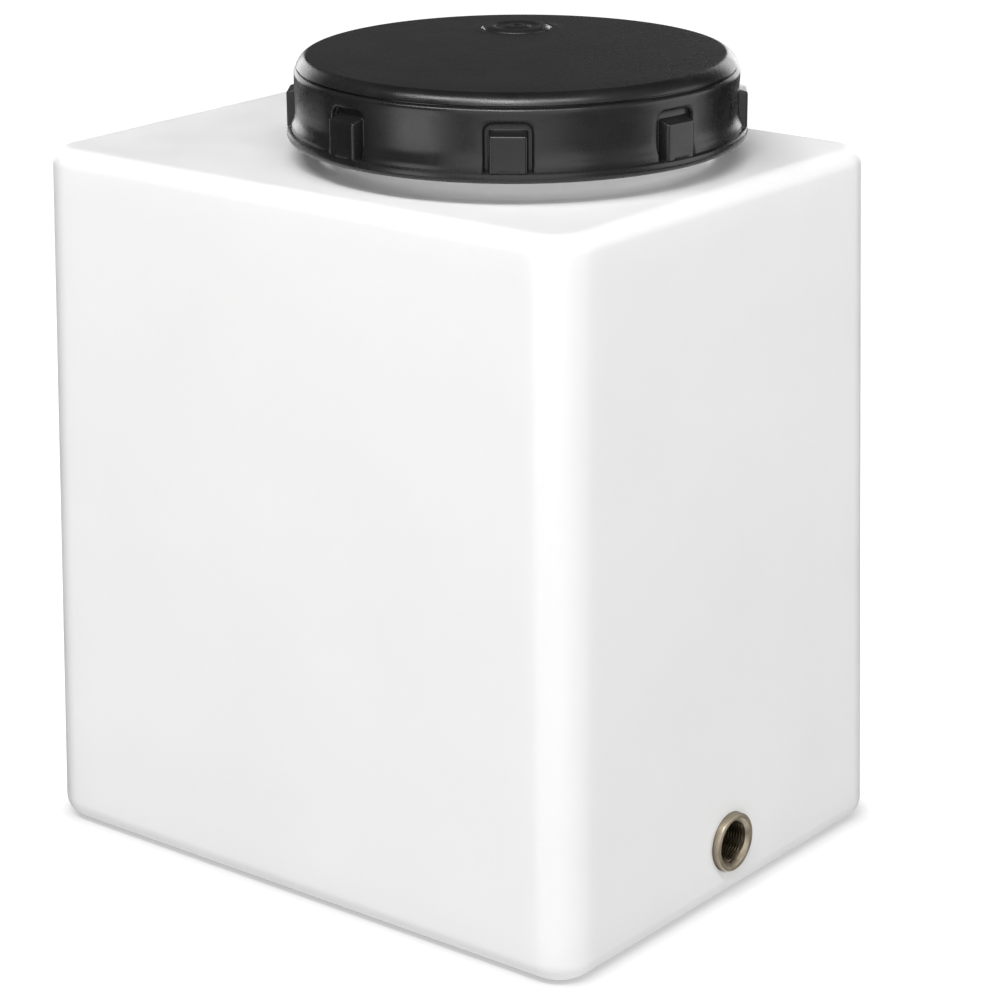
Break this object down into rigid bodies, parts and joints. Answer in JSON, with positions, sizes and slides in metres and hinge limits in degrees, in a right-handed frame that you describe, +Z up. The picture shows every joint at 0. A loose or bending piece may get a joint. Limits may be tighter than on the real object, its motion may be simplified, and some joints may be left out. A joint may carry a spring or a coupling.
{
  "type": "vented plastic expansion tank",
  "caption": "Upright rectangular plastic header tank with a screwed black lid with grip lugs and a breather, and a brass threaded outlet low on one end.",
  "frame": {"origin": "middle of the flat base, on the surface the tank stands on", "axes": "+Z up, +X towards the end wall with the brass outlet, which is the end the mouth is nearer to"},
  "size_m": [0.3869, 0.2994, 0.4623],
  "materials": {
    "natural_polyethylene": "unpigmented white rotomoulded polyethylene, satin, slightly uneven skin",
    "black_polyethylene": "injection-moulded black polyethylene, satin with a fine grain",
    "black_polypropylene": "moulded black, satin",
    "seal_rubber": "matt black rubber",
    "brass": "machined, dulled"
  },
  "bodies": {
    "tank": {"tank_body": "natural_polyethylene", "outlet_insert": "brass"},
    "gasket": {"lid_gasket": "seal_rubber"},
    "lid": {"lid": "black_polyethylene", "breather_body": "black_polypropylene", "breather_gasket": "seal_rubber", "breather_cap": "black_polypropylene", "breather_nut": "black_polypropylene"},
    "valve": {"breather_valve": "seal_rubber"}
  },
  "joints": [
    {"name": "lid_rise", "type": "slide", "parent": "tank", "child": "gasket", "axis": [0, 0, 1], "range_m": [0, 0.042]},
    {"name": "lid_turn", "type": "hinge", "parent": "gasket", "child": "lid", "pos_m": [0.0435, 0, 0.4149], "axis": [0, 0, 1], "range_deg": [0, 1260]},
    {"name": "valve_lift", "type": "slide", "parent": "lid", "child": "valve", "axis": [0, 0, 1], "range_m": [0, 0.0012]}
  ],
  "couplings": [
    {"joint": "lid_rise", "follows": "lid_turn", "m_per_rad": 0.0019099}
  ]
}
